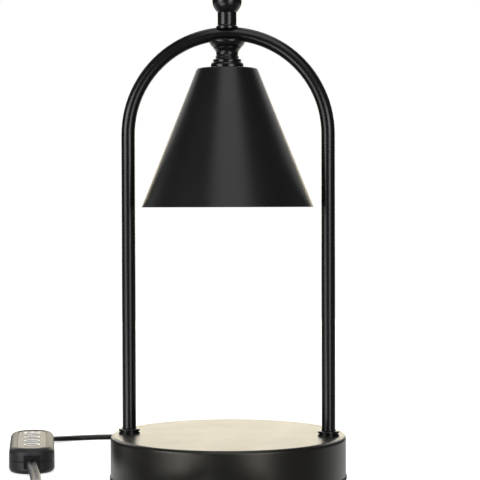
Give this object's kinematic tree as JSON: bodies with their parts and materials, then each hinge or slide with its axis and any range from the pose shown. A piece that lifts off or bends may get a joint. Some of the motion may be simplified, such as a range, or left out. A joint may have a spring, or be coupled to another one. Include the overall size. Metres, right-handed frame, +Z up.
{
  "type": "candle warmer lamp",
  "caption": "Arched table lamp that melts a jar candle from above: weighted round base, conical shade with a spotlight bulb, corded hand control with push buttons, coiled mains cord.",
  "frame": {"origin": "on the floor under the middle of the round base", "axes": "+Z up, +X through the arch's two legs, +Y to the back, where the cord leaves the base"},
  "size_m": [0.24, 0.3331, 0.3173],
  "materials": {
    "pad_rubber": "matte black rubber",
    "cover_fibre": "matte black",
    "plated_steel": "zinc plated",
    "ballast_iron": "bare cast",
    "base_paint": "gloss black",
    "cord_rubber": "matte black",
    "frame_paint": "gloss black",
    "shade_paint": "satin black",
    "socket_ceramic": "glazed ceramic",
    "contact_brass": "plated",
    "bulb_reflector": "bright",
    "bulb_glass": "clear",
    "control_plastic": "fine matte",
    "control_panel": "fine matte",
    "ring_plastic": "white",
    "button_plastic": "satin",
    "indicator_lens": "milky",
    "board_laminate": "solder mask",
    "switch_plastic": "moulded",
    "tie_plastic": "soft",
    "plug_plastic": "moulded"
  },
  "bodies": {
    "lamp": {"foot_pad": "pad_rubber", "bottom_cover": "cover_fibre", "base_screws": "plated_steel", "ballast_weight": "ballast_iron", "base_bosses": "plated_steel", "base_shell": "base_paint", "cord_grommet": "cord_rubber", "arch_tube": "frame_paint", "leg_stems": "plated_steel", "post_collar_left": "frame_paint", "post_collar_right": "frame_paint", "post_washers": "plated_steel", "post_nuts": "plated_steel", "arch_coupling": "frame_paint", "shade_cap": "frame_paint", "finial_neck": "frame_paint", "finial_stud": "plated_steel", "finial_ball": "frame_paint", "shade": "shade_paint", "shade_nipple": "plated_steel", "lock_washer": "plated_steel", "nipple_nut": "plated_steel", "socket_bracket": "plated_steel", "bulb_socket": "socket_ceramic", "socket_contacts": "contact_brass", "socket_screws": "plated_steel", "inner_cable": "cord_rubber", "control_lower_case": "control_plastic", "control_upper_case": "control_plastic", "control_face_plate": "control_panel", "button_rings": "ring_plastic", "indicator_lenses": "indicator_lens", "control_board": "board_laminate", "tact_switches": "switch_plastic", "control_screws": "plated_steel", "control_sleeves": "cord_rubber", "cord_lead": "cord_rubber", "cord_run": "cord_rubber", "cord_coil": "cord_rubber", "cord_tail": "cord_rubber", "coil_tie": "tie_plastic", "plug_body": "plug_plastic", "plug_blades": "contact_brass"},
    "bulb": {"bulb_base": "socket_ceramic", "bulb_reflector": "bulb_reflector", "bulb_lens": "bulb_glass", "bulb_capsule": "bulb_glass", "bulb_filament": "plated_steel", "bulb_pins": "plated_steel"},
    "timer_button_cap": {"timer_button": "button_plastic"},
    "plus_button_cap": {"plus_button": "button_plastic"},
    "minus_button_cap": {"minus_button": "button_plastic"},
    "power_button_cap": {"power_button": "button_plastic"}
  },
  "joints": [
    {"name": "bulb_twist", "type": "hinge", "parent": "lamp", "child": "bulb", "pos_m": [0, 0, 0.2295], "axis": [0, 0, -1], "range_deg": [0, 40]},
    {"name": "timer_press", "type": "slide", "parent": "lamp", "child": "timer_button_cap", "axis": [0, 0, -1], "range_m": [0, 0.0006], "stiffness_N_per_m": 800},
    {"name": "plus_press", "type": "slide", "parent": "lamp", "child": "plus_button_cap", "axis": [0, 0, -1], "range_m": [0, 0.0006], "stiffness_N_per_m": 800},
    {"name": "minus_press", "type": "slide", "parent": "lamp", "child": "minus_button_cap", "axis": [0, 0, -1], "range_m": [0, 0.0006], "stiffness_N_per_m": 800},
    {"name": "power_press", "type": "slide", "parent": "lamp", "child": "power_button_cap", "axis": [0, 0, -1], "range_m": [0, 0.0006], "stiffness_N_per_m": 800}
  ]
}
